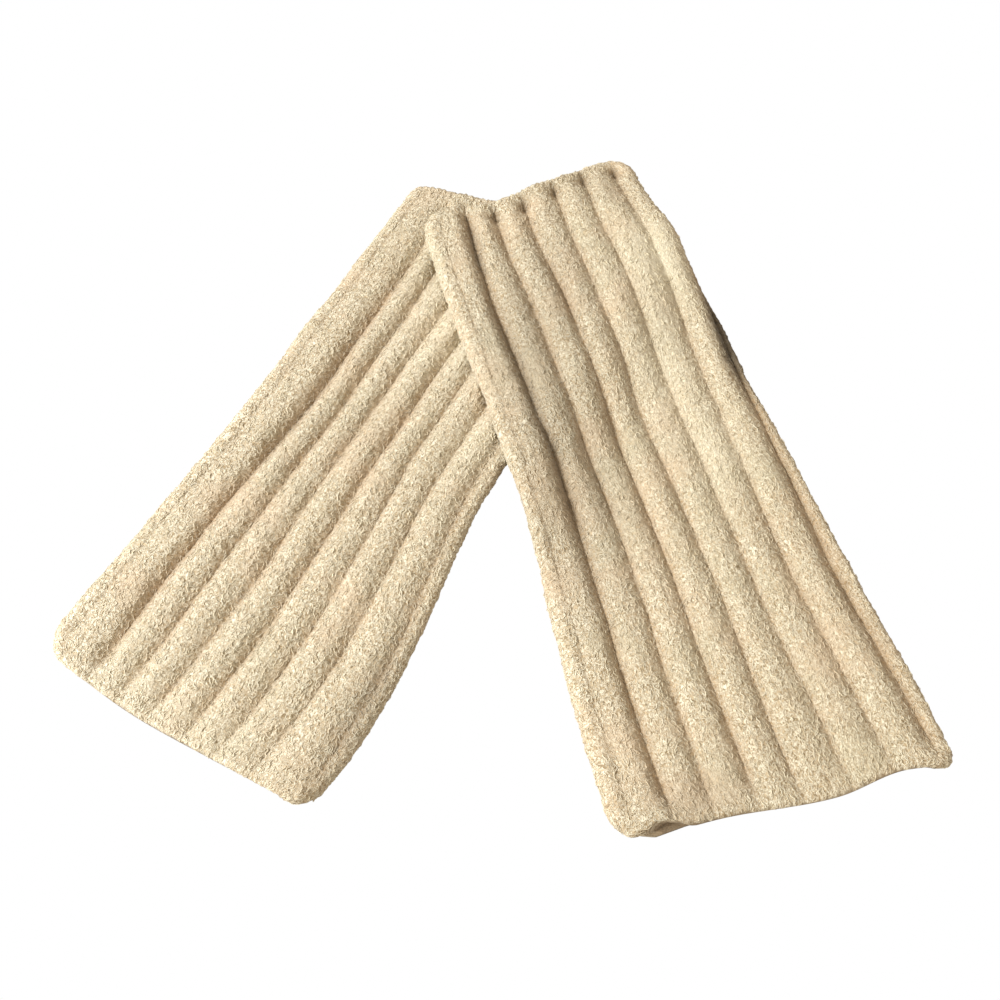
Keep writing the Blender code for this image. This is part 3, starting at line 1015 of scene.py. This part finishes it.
@dataclass(frozen=True)
class Curls:
    """Curly fibres that lie over the yarn in low waves, as one joined mesh.

    The spreads are the least and the most that a fibre's wave, rise and radius are of their named sizes,
    and the two powers of its tint's beta distribution. A tip is slim times as thick as the middle. Fibres
    grow from clear_of_table up, and as far as under_edge below another warmer. A fan closes each end of a
    fibre, and the fan sizes are its place on the fibre's map.
    """

    count: int = 4000
    shortest: float = 2.4
    longest: float = 6.0
    radius: float = 0.15
    rise: float = 0.3
    sunk: float = 0.1
    bend: float = 0.16
    wave: float = 0.5
    shortest_wave: float = 1.9
    longest_wave: float = 3.6
    lean: float = 22.0
    scatter: float = 34.0
    rings: int = 8
    sides: int = 3
    wave_spread: tuple[float, float] = (0.4, 1.2)
    rise_spread: tuple[float, float] = (0.5, 1.5)
    radius_spread: tuple[float, float] = (0.75, 1.3)
    tint_spread: tuple[float, float] = (2.2, 2.0)
    slim: float = 0.6
    clear_of_table: float = 1.2
    under_edge: float = 4.0
    least_step: float = 0.25
    fan_width: float = 0.4
    fan_from: float = 0.8
    fan_height: float = 0.15
    fan_apart: float = 0.5
    map_inset: float = 0.08

    def build(self, grid: ShellGrid, name: str, seed: int) -> bpy.types.Object:
        """Makes the piece on a warmer's shell.

        Args:
            grid: The shell that the fibres are rooted in.
            name: The piece's name.
            seed: Where its random numbers start.

        Returns:
            The object, with each point's tint, lift, painted groove shade and painted shading as attributes.
        """
        rng = np.random.default_rng(seed)
        row, column = self._places(grid, rng)
        middles, normals = self._paths(grid, row, column, rng)
        points = self._tubes(middles, normals, rng)
        item = make_object(name, points.reshape(-1, 3), self._faces())
        ring_points = self.rings * self.sides
        tint = np.repeat(rng.beta(*self.tint_spread, self.count), ring_points)
        lift = np.tile(np.repeat(self._arch(), self.sides), self.count)
        at = (row.astype(int), column.astype(int))
        add_attribute(item, "tint", tint)
        add_attribute(item, "lift", lift)
        add_attribute(item, "groove_shade", np.repeat(grid.groove_shade()[at], ring_points))
        add_attribute(item, "tone", np.repeat(grid.tone()[at], ring_points))
        return item

    def _places(self, grid: ShellGrid, rng: np.random.Generator) -> tuple[Array, Array]:
        """Draws where each fibre's middle lies on the grid: even over the area that shows.

        Args:
            grid: The shell.
            rng: The random numbers.

        Returns:
            Each fibre's row and column, with the shares past the grid's points.
        """
        top = grid.points[:, : grid.top_count]
        down, across = np.diff(top, axis=0)[:, :-1], np.diff(top, axis=1)[:-1]
        area = np.linalg.norm(np.cross(down, across), axis=-1)
        area = area * (grid.height[:-1, : grid.top_count - 1] > self.clear_of_table)
        area = area * (grid.covered_by(top[:-1, :-1]) < self.under_edge)
        edges = np.cumsum(area.ravel())
        cell = np.searchsorted(edges, rng.random(self.count) * edges[-1])
        row, column = np.divmod(cell, area.shape[1])
        return row + rng.random(self.count), column + rng.random(self.count)

    def _arch(self) -> Array:
        """How high a fibre stands at each ring: one less the square of the distance from its middle."""
        along = np.linspace(-1.0, 1.0, self.rings)
        return 1.0 - along * along

    def _paths(
        self, grid: ShellGrid, row: Array, column: Array, rng: np.random.Generator
    ) -> tuple[Array, Array]:
        """Leads each fibre over the shell.

        It runs near the lean of the stitch's leg that it grows from, bends sideways as the square of the
        distance from its middle does, with a sine wave of its own pitch on top, and arches over the surface
        between its two sunken ends.

        Args:
            grid: The shell.
            row: Each fibre's middle, in rows of the grid.
            column: The same in columns.
            rng: The random numbers.

        Returns:
            The fibres' middle lines, and the surface's directions there, each fibres by rings by 3.
        """
        share = grid.column[np.minimum(column.astype(int), grid.top_count - 1)] % 1.0
        lean = np.where(share < 0.5, -self.lean, self.lean)
        angle = np.radians(lean + rng.normal(0.0, self.scatter, self.count))
        length = rng.triangular(self.shortest, self.shortest, self.longest, self.count)[:, None]
        bend = rng.uniform(-self.bend, self.bend, self.count)[:, None] * length
        step = np.linspace(-0.5, 0.5, self.rings)
        ahead = length * step
        wave = self.wave * rng.uniform(*self.wave_spread, self.count)[:, None]
        pitch = rng.uniform(self.shortest_wave, self.longest_wave, self.count)[:, None]
        start = rng.uniform(0.0, 2 * math.pi, self.count)[:, None]
        aside = bend * (4 * step * step - 1) + wave * np.sin(2 * math.pi * ahead / pitch + start)
        cos, sin = np.cos(angle)[:, None], np.sin(angle)[:, None]
        top = grid.points[:, : grid.top_count]
        row_size = np.linalg.norm(np.gradient(top, axis=0), axis=-1)
        column_size = np.maximum(np.linalg.norm(np.gradient(top, axis=1), axis=-1), self.least_step)
        at = (row.astype(int), np.minimum(column.astype(int), grid.top_count - 1))
        rows = row[:, None] + (ahead * cos - aside * sin) / row_size[at][:, None]
        columns = column[:, None] + (ahead * sin + aside * cos) / column_size[at][:, None]
        middles = between(top, rows, columns)
        normals = unit(between(grid.normals[:, : grid.top_count], rows, columns))
        rise = self.rise * rng.uniform(*self.rise_spread, self.count)[:, None]
        middles = middles + normals * (rise * self._arch() - self.sunk)[..., None]
        middles[..., 2] = np.maximum(middles[..., 2], self.radius)
        return middles, normals

    def _tubes(self, middles: Array, normals: Array, rng: np.random.Generator) -> Array:
        """Carries a small polygon along each fibre, thinner at both ends.

        Args:
            middles: The fibres' middle lines, fibres by rings by 3.
            normals: The surface's directions there.
            rng: The random numbers.

        Returns:
            The points, fibres by rings by sides by 3.
        """
        ahead = unit(np.gradient(middles, axis=1))
        aside = unit(np.cross(ahead, normals))
        upward = np.cross(aside, ahead)
        turn = 2 * math.pi * np.arange(self.sides) / self.sides
        thickness = self.slim + (1.0 - self.slim) * self._arch()
        radius = self.radius * rng.uniform(*self.radius_spread, self.count)[:, None] * thickness
        round_it = np.cos(turn)[:, None] * aside[:, :, None] + np.sin(turn)[:, None] * upward[:, :, None]
        return middles[:, :, None] + radius[:, :, None, None] * round_it

    def _faces(self) -> list[Faces]:
        """Works out all fibres' faces.

        Returns:
            The quads along the fibres, and the fans that close their ends.
        """
        tube = quad_faces(self.rings, self.sides, self.rings - 1, FIBRE_STEPS)
        turn = np.arange(self.sides)
        ends = np.stack([turn[::-1], (self.rings - 1) * self.sides + turn])
        fan = np.stack(
            [turn / self.sides * self.fan_width, self.fan_from + self.fan_height * (turn % 2)], axis=1
        )
        end_places = np.stack([fan, fan + (self.fan_apart, 0.0)])
        return [self._repeated(tube), self._repeated(Faces(ends, end_places))]

    def _repeated(self, faces: Faces) -> Faces:
        """Repeats one fibre's faces for all of them.

        Args:
            faces: The faces on one fibre's points, and their places on a square map.

        Returns:
            The faces on all fibres' points, with each fibre in its own cell of the map.
        """
        wide = math.ceil(math.sqrt(self.count))
        fibre = np.arange(self.count)
        cell = np.stack([fibre % wide, fibre // wide], axis=1)[:, None, None, :]
        inset = self.map_inset + (1.0 - 2.0 * self.map_inset) * faces.places
        places = (cell + inset[None]) / wide
        first = (fibre * self.rings * self.sides)[:, None, None]
        corners = (faces.corners[None] + first).reshape(-1, faces.corners.shape[1])
        return Faces(corners, places.reshape(-1, 2))


def between(grid: Array, rows: Array, columns: Array) -> Array:
    """Reads a grid of vectors between its points, straight in both directions, held at its edges.

    Args:
        grid: The vectors, rows by columns by 3.
        rows: Where to read it, in rows.
        columns: The same in columns.

    Returns:
        The vectors at those places.
    """
    rows = np.clip(rows, 0.0, grid.shape[0] - 1 - HAIR)
    columns = np.clip(columns, 0.0, grid.shape[1] - 1 - HAIR)
    row, column = rows.astype(int), columns.astype(int)
    down, across = (rows - row)[..., None], (columns - column)[..., None]
    near = grid[row, column] * (1 - across) + grid[row, column + 1] * across
    far = grid[row + 1, column] * (1 - across) + grid[row + 1, column + 1] * across
    return near * (1 - down) + far * down


class Signal:
    """A node's output that takes part in sums: each operator adds a Math node."""

    def __init__(self, shader: Shader, socket: bpy.types.NodeSocket) -> None:
        """Wraps a socket of a shader's node."""
        self.shader = shader
        self.socket = socket

    def _math(self, operation: str, first: object, second: object) -> Signal:
        """Adds a Math node on two values or signals."""
        return self.shader.maths("Math", operation, first, second)

    def __add__(self, other: object) -> Signal:
        """This signal plus another one or a number."""
        return self._math("ADD", self, other)

    def __radd__(self, other: object) -> Signal:
        """A number plus this signal."""
        return self._math("ADD", other, self)

    def __sub__(self, other: object) -> Signal:
        """This signal less another one or a number."""
        return self._math("SUBTRACT", self, other)

    def __rsub__(self, other: object) -> Signal:
        """A number less this signal."""
        return self._math("SUBTRACT", other, self)

    def __mul__(self, other: object) -> Signal:
        """This signal times another one or a number."""
        return self._math("MULTIPLY", self, other)

    def __rmul__(self, other: object) -> Signal:
        """A number times this signal."""
        return self._math("MULTIPLY", other, self)


class Shader:
    """One material's nodes round its Principled BSDF.

    The mix sockets are a Mix node's two colours and its mixed one. A thread runs where the noise is within
    its core of the middle value, and ends at its edge.
    """

    MIX_SOCKETS = (6, 7, 2)
    THREAD_EDGE = 0.075
    THREAD_CORE = 0.01

    def __init__(self, name: str) -> None:
        """Starts a material.

        Args:
            name: The material's name.
        """
        self.material = bpy.data.materials.new(name)
        self.material.use_nodes = True
        self.tree = self.material.node_tree
        self.surface = self.tree.nodes["Principled BSDF"]

    def feed(self, socket: bpy.types.NodeSocket, value: object) -> None:
        """Links a signal to a socket, or sets the socket's own value.

        Args:
            socket: The input.
            value: What it gets.
        """
        if isinstance(value, Signal):
            self.tree.links.new(value.socket, socket)
        else:
            socket.default_value = value

    def node(
        self, kind: str, settings: dict[str, object], sockets: dict[int | str, object], output: int | str = 0
    ) -> Signal:
        """Adds a node.

        Args:
            kind: The node's type.
            settings: Its own settings, which are made first.
            sockets: The values or signals of its inputs.
            output: The output that is read.

        Returns:
            The output as a signal.
        """
        node = self.tree.nodes.new(kind)
        for setting, value in settings.items():
            setattr(node, setting, value)
        for socket, value in sockets.items():
            self.feed(node.inputs[socket], value)
        return Signal(self, node.outputs[output])

    def maths(self, kind: str, operation: str, *values: object) -> Signal:
        """Adds a Math or Vector Math node on values or signals, in the order of its sockets."""
        return self.node(f"ShaderNode{kind}", {"operation": operation}, dict(enumerate(values)))

    def attribute(self, name: str, output: str = "Fac") -> Signal:
        """Reads one of the mesh's own attributes."""
        return self.node("ShaderNodeAttribute", {"attribute_name": name}, {}, output)

    def noise(self, where: Signal, size: float, detail: float = 2.0, twist: float = 0.0) -> Signal:
        """Soft noise from 0 to 1 whose features are about this large, in the units of where."""
        sockets = {"Vector": where, "Scale": 1.0 / size, "Detail": detail, "Distortion": twist}
        return self.node("ShaderNodeTexNoise", {}, sockets, "Fac")

    def threads(self, where: Signal, size: float, twist: float) -> Signal:
        """Adds thin winding lines, which run where soft noise passes its middle value.

        Args:
            where: The places that the noise reads.
            size: How large the noise's features are.
            twist: How much it winds.

        Returns:
            1 on the lines, less to 0 a little beside them.
        """
        above = self.noise(where, size, 1.0, twist) - 0.5
        off = self.maths("Math", "ABSOLUTE", above)
        return self.spread(off, self.THREAD_EDGE, self.THREAD_CORE)

    def spread(self, value: Signal, low: float, high: float) -> Signal:
        """Stretches the part of a signal between low and high to 0 and 1, level at both ends."""
        sockets = {"Value": value, "From Min": low, "From Max": high}
        return self.node("ShaderNodeMapRange", {"interpolation_type": "SMOOTHSTEP"}, sockets)

    def mix(self, share: object, first: object, second: object) -> Signal:
        """Mixes two colours.

        Args:
            share: How much of the second one.
            first: The first colour.
            second: The second colour.

        Returns:
            The mixed colour.
        """
        one, other, mixed = self.MIX_SOCKETS
        sockets = {"Factor": share, one: first, other: second}
        return self.node("ShaderNodeMix", {"data_type": "RGBA"}, sockets, mixed)


class Tone(Enum):
    """The wool's colours, and the painted shades and light laid over them, as light sent back: red, green,
    blue.
    """

    GROUND = (0.62, 0.50, 0.33, 1.0)
    CREAM = (0.79, 0.69, 0.49, 1.0)
    PALE = (0.95, 0.90, 0.735, 1.0)
    WARM = (0.80, 0.635, 0.45, 1.0)
    GREY = (0.66, 0.60, 0.43, 1.0)
    # Painted rosy-brown shade in the grooves and the hollow
    ROSE_SHADE = (0.45, 0.30, 0.17, 1.0)
    # Painted shade in the yarn's gaps and at the fibres' sunken ends
    DEEP_SHADE = (0.36, 0.26, 0.14, 1.0)
    # Painted shadow and painted light, laid by the painted shading
    PAINTED_SHADOW = (0.15, 0.12, 0.08, 1.0)
    PAINTED_LIGHT = (1.0, 0.93, 0.72, 1.0)


@dataclass(frozen=True)
class Patches:
    """Large soft patches of one tint: their size and twist, the noise's span that they take, how strong."""

    tint: Tone
    size: float
    twist: float
    low: float
    high: float
    share: float


@dataclass(frozen=True)
class WoolFinish:
    """The wool's gloss and nap, set on the shader's own sockets, and how its colours are laid.

    The yarn's crinkle, gaps and threads are measured in millimetres over the cloth, which the stretch draws
    out along it. The shares say how strongly each colour is laid over the one before.
    """

    roughness: float = 0.85
    sheen: float = 0.25
    sheen_roughness: float = 0.45
    specular: float = 0.25
    patched: tuple[Patches, ...] = (
        Patches(Tone.WARM, 0.024, 0.0, 0.45, 0.75, 0.5),
        Patches(Tone.GREY, 0.036, 0.4, 0.5, 0.8, 0.45),
    )
    stretch: Triple = (1.0, 0.6, 1.0)
    crinkle_size: float = 0.8
    crinkle_twist: float = 1.2
    gap_edge: float = 0.5
    gap_core: float = 0.37
    gap_shade_share: float = 0.9
    thread_sizes: tuple[float, float] = (1.0, 1.25)
    thread_twists: tuple[float, float] = (0.7, 1.1)
    thread_shift: Triple = (31.0, 17.0, 5.0)
    thread_share: float = 0.9
    # How strong the painted rosy-brown shade is in a groove, on the yarn and on the fibres
    yarn_groove_shade: float = 0.48
    fibre_groove_shade: float = 0.3
    root_shade_share: float = 0.35
    crinkle_bump: float = 0.5
    bump_strength: float = 0.7
    bump_height: float = 0.0004

    def start(self, name: str) -> Shader:
        """Starts a material with the wool's gloss and nap.

        Args:
            name: The material's name.

        Returns:
            Its shader, with no colour yet.
        """
        shader = Shader(name)
        shader.feed(shader.surface.inputs["Roughness"], self.roughness)
        shader.feed(shader.surface.inputs["Sheen Weight"], self.sheen)
        shader.feed(shader.surface.inputs["Sheen Roughness"], self.sheen_roughness)
        shader.feed(shader.surface.inputs["Specular IOR Level"], self.specular)
        return shader

    def patches(self, shader: Shader, colour: Signal) -> Signal:
        """Tints a colour in large soft patches, warm in some places and greyer in others.

        Args:
            shader: The material's shader.
            colour: The colour before.

        Returns:
            The colour after.
        """
        where = shader.node("ShaderNodeTexCoord", {}, {}, "Object")
        for patch in self.patched:
            noise = shader.noise(where, patch.size, twist=patch.twist)
            strength = shader.spread(noise, patch.low, patch.high) * patch.share
            colour = shader.mix(strength, colour, patch.tint.value)
        return colour

    def shaded(self, shader: Shader, colour: Signal, share: float) -> Signal:
        """Lays painted rosy-brown shade in the grooves, and painted shade and painted light by the painted
        shading.

        Args:
            shader: The material's shader.
            colour: The colour before.
            share: How strong the painted rosy-brown shade is in a groove of full depth.

        Returns:
            The colour after.
        """
        tone = shader.attribute("tone")
        # Painted rosy-brown shade in the grooves, strongest where they are deepest
        colour = shader.mix(shader.attribute("groove_shade") * share, colour, Tone.ROSE_SHADE.value)
        # Painted light where the painted shading is below 0, painted shade where it is above
        colour = shader.mix(tone * -1.0, colour, Tone.PAINTED_LIGHT.value)
        return shader.mix(tone, colour, Tone.PAINTED_SHADOW.value)

    def yarn(self) -> bpy.types.Material:
        """Makes the knitted shell's material: cream yarn with dark gaps, painted rosy-brown shade in the
        grooves.

        Returns:
            The material.
        """
        shader = self.start("cream_yarn")
        place = shader.maths("VectorMath", "MULTIPLY", shader.attribute("cloth", "Vector"), self.stretch)
        crinkle = shader.noise(place, self.crinkle_size, twist=self.crinkle_twist)
        gap_shade = shader.spread(crinkle, self.gap_edge, self.gap_core)
        elsewhere = shader.maths("VectorMath", "ADD", place, self.thread_shift)
        sets = zip((place, elsewhere), self.thread_sizes, self.thread_twists)
        first, second = (shader.threads(where, size, twist) for where, size, twist in sets)
        curls = shader.maths("Math", "MAXIMUM", first, second)
        colour = shader.mix(curls * self.thread_share, Tone.GROUND.value, Tone.PALE.value)
        # Dark gaps between the threads: partly the yarn's own darker core, partly painted shade between
        # fibres
        colour = shader.mix(gap_shade * self.gap_shade_share, colour, Tone.DEEP_SHADE.value)
        colour = self.shaded(shader, self.patches(shader, colour), self.yarn_groove_shade)
        shader.feed(shader.surface.inputs["Base Color"], colour)
        height = curls + self.crinkle_bump * crinkle
        bump = {"Height": height, "Strength": self.bump_strength, "Distance": self.bump_height}
        shader.feed(shader.surface.inputs["Normal"], shader.node("ShaderNodeBump", {}, bump))
        return shader.material

    def fibre(self) -> bpy.types.Material:
        """Makes the curled fibres' material: each in its own tint, with painted shade where it sinks into
        the yarn.

        Returns:
            The material.
        """
        shader = self.start("cream_fibre")
        tint = shader.attribute("tint")
        colour = shader.mix(tint, Tone.CREAM.value, Tone.PALE.value)
        colour = self.shaded(shader, self.patches(shader, colour), self.fibre_groove_shade)
        # Painted shade at the fibre's sunken ends, darker the lower it lies
        low = 1.0 - shader.attribute("lift")
        colour = shader.mix(low * self.root_shade_share, colour, Tone.DEEP_SHADE.value)
        shader.feed(shader.surface.inputs["Base Color"], colour)
        return shader.material


@dataclass
class DressedWarmer:
    """One warmer's pieces: its knitted shell and the curled fibres on it, whose seeds start past its own."""

    warmer: Warmer
    drape: Flat | Across
    above: Warmer | None
    rests_on: tuple[str, ...]
    flat_width: float
    flat_length: float
    seed: int
    curl_pieces: int = 2
    curl_seeds: int = 50
    yarn: Yarn = field(default_factory=Yarn)
    curls: Curls = field(default_factory=Curls)

    def build(self, shell_material: bpy.types.Material, fibre_material: bpy.types.Material) -> None:
        """Makes the pieces, dresses them, and lets them stand for the warmer's solid.

        Args:
            shell_material: The knitted shell's material.
            fibre_material: The curled fibres' material.
        """
        grid = ShellGrid(self.warmer, self.drape, self.yarn, self.above, self.seed)
        side = self.warmer.name.removeprefix("warmer_")
        shell = build_shell(grid, f"{side}_knit")
        shell.data.materials.append(shell_material)
        fibres = []
        for number in range(self.curl_pieces):
            seed = self.seed + self.curl_seeds + number
            piece = self.curls.build(grid, f"{side}_curls_{number + 1}", seed)
            piece.data.materials.append(fibre_material)
            fibres.append(piece)
        for piece in (shell, *fibres):
            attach(piece, "root")
            triangles = sum(len(face.vertices) - 2 for face in piece.data.polygons)
            LOG.info("%s: %d triangles", piece.name, triangles)
        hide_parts(self.warmer.name)


def stand(name: str, data: bpy.types.ID, place: Triple, aim: Triple) -> bpy.types.Object:
    """Puts a lamp or the camera into the scene.

    Args:
        name: The object's name.
        data: The lamp or the camera.
        place: Where it stands, in metres.
        aim: The place that it points at.

    Returns:
        The object.
    """
    item = bpy.data.objects.new(name, data)
    item.location = place
    back = Vector(place) - Vector(aim)
    item.rotation_euler = back.to_track_quat("Z", "Y").to_euler()
    bpy.context.scene.collection.objects.link(item)
    return item


@dataclass(frozen=True)
class Studio:
    """The floor, a low sun at the left and a small lamp close by, the soft light round, and the camera."""

    floor_size: float = 4.0
    floor_drop: float = 0.0002
    floor_colour: Triple = (0.5, 0.44, 0.36)
    floor_roughness: float = 0.9
    middle: Triple = (0.0, 0.0, 0.0)
    key_from: Triple = (-0.76, -0.16, 0.63)
    key_power: float = 1.98
    key_angle: float = 10.0
    key_colour: Triple = (1.0, 0.973, 0.88)
    near_at: Triple = (-0.62, -0.10, 0.45)
    near_aim: Triple = (-0.06, 0.0, 0.0)
    near_power: float = 3.9
    near_size: float = 0.2
    near_colour: Triple = (0.93, 0.99, 1.08)
    sky: float = 0.605
    sky_colour: Triple = (1.0, 0.88, 0.73)
    eye: Triple = (0.0034, -0.2825, 0.4945)
    aim: Triple = (0.0034, -0.0196, 0.0)
    lens: float = 46.8
    sensor: float = 36.0

    def build(self) -> None:
        """Makes the floor, the lights and the camera."""
        self._floor()
        self._key()
        self._near_lamp()
        self._sky()
        self._camera()
        self._colours()

    def _floor(self) -> None:
        """A plain square just below what lies on it: grey to the light, and white to the camera."""
        half = self.floor_size / 2
        corners = [(-half, -half), (half, -half), (half, half), (-half, half)]
        mesh = bpy.data.meshes.new("floor")
        mesh.from_pydata([(x, y, -self.floor_drop) for x, y in corners], [], [(0, 1, 2, 3)])
        floor = bpy.data.objects.new("floor", mesh)
        bpy.context.scene.collection.objects.link(floor)
        shader = Shader("pale_floor")
        shader.feed(shader.surface.inputs["Base Color"], (*self.floor_colour, 1.0))
        shader.feed(shader.surface.inputs["Roughness"], self.floor_roughness)
        seen = shader.node("ShaderNodeLightPath", {}, {}, "Is Camera Ray")
        lit = Signal(shader, shader.surface.outputs["BSDF"])
        white = shader.node("ShaderNodeEmission", {}, {"Color": (1.0, 1.0, 1.0, 1.0), "Strength": 1.0})
        both = shader.node("ShaderNodeMixShader", {}, {0: seen, 1: lit, 2: white})
        shader.feed(shader.tree.nodes["Material Output"].inputs["Surface"], both)
        mesh.materials.append(shader.material)

    def _key(self) -> None:
        """A low sun with soft edges at the left, which rakes across the ribs."""
        lamp = bpy.data.lights.new("key", "SUN")
        lamp.energy = self.key_power
        lamp.angle = math.radians(self.key_angle)
        lamp.color = self.key_colour
        stand("key", lamp, self.key_from, self.middle)

    def _near_lamp(self) -> None:
        """A small lamp on the same side, close to the left warmer, which lights that one more."""
        lamp = bpy.data.lights.new("near_lamp", "AREA")
        lamp.energy = self.near_power
        lamp.size = self.near_size
        lamp.color = self.near_colour
        stand("near_lamp", lamp, self.near_at, self.near_aim)

    def _sky(self) -> None:
        """Even soft light from all round, a little warm."""
        world = bpy.data.worlds.new("soft_light")
        world.use_nodes = True
        background = world.node_tree.nodes["Background"]
        background.inputs["Color"].default_value = (*self.sky_colour, 1.0)
        background.inputs["Strength"].default_value = self.sky
        bpy.context.scene.world = world

    def _camera(self) -> None:
        """A camera above the hems' side, looking down at the middle of the pair."""
        lens = bpy.data.cameras.new("camera")
        lens.lens = self.lens
        lens.sensor_width = self.sensor
        bpy.context.scene.camera = stand("camera", lens, self.eye, self.aim)

    def _colours(self) -> None:
        """Shows the light's colours as they are, without a film's curve."""
        bpy.context.scene.view_settings.view_transform = "Standard"


def main() -> None:
    """Builds the studio and both warmers."""
    logging.basicConfig(level=logging.INFO, format="%(message)s")
    Studio().build()
    finish = WoolFinish()
    yarn, fibre = finish.yarn(), finish.fibre()
    left = DressedWarmer(
        warmer=LEFT,
        drape=Flat(),
        above=RIGHT,
        rests_on=("floor",),
        flat_width=242.0,
        flat_length=300.0,
        seed=100,
    )
    right = DressedWarmer(
        warmer=RIGHT,
        drape=Across(LEFT),
        above=None,
        rests_on=("left_knit", "floor"),
        flat_width=247.0,
        flat_length=312.0,
        seed=200,
    )
    for dressed in (left, right):
        dressed.build(yarn, fibre)


def plain(box: object) -> list[list[float]]:
    """A box's two corners as plain lists of numbers."""
    return [[float(value) for value in corner] for corner in box]


if __name__ == "__main__":
    main()
